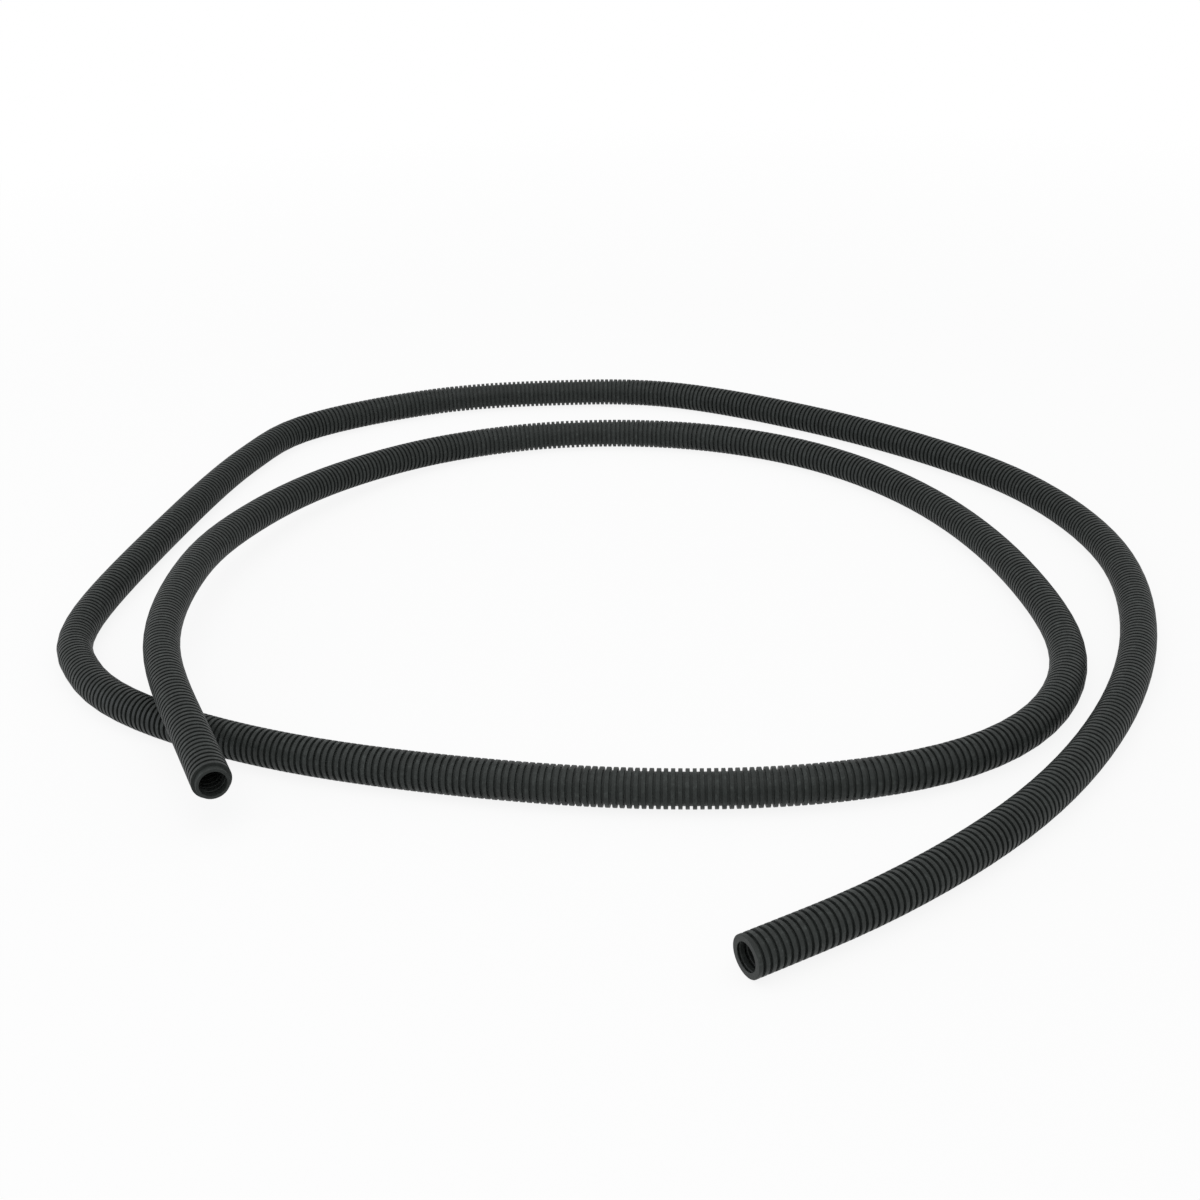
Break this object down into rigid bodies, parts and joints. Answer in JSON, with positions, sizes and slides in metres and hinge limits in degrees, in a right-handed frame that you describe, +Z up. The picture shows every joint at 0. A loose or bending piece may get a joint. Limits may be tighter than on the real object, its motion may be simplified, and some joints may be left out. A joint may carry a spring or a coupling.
{
  "type": "corrugated conduit",
  "caption": "Pliable corrugated plastic conduit, a cut length lying on the floor in a loose spiral, that sheathes and carries electric wires.",
  "frame": {"origin": "on the floor, under the middle of the spiral's outline", "axes": "+Z up from the floor; +Y along the longer side of the spiral's outline, away from the front cut end; +X to its right, away from the way that end points"},
  "size_m": [0.5088, 0.5882, 0.0325],
  "materials": {
    "conduit": "matte dark grey moulded plastic"
  },
  "bodies": {
    "root": {"conduit": "conduit"}
  },
  "joints": []
}
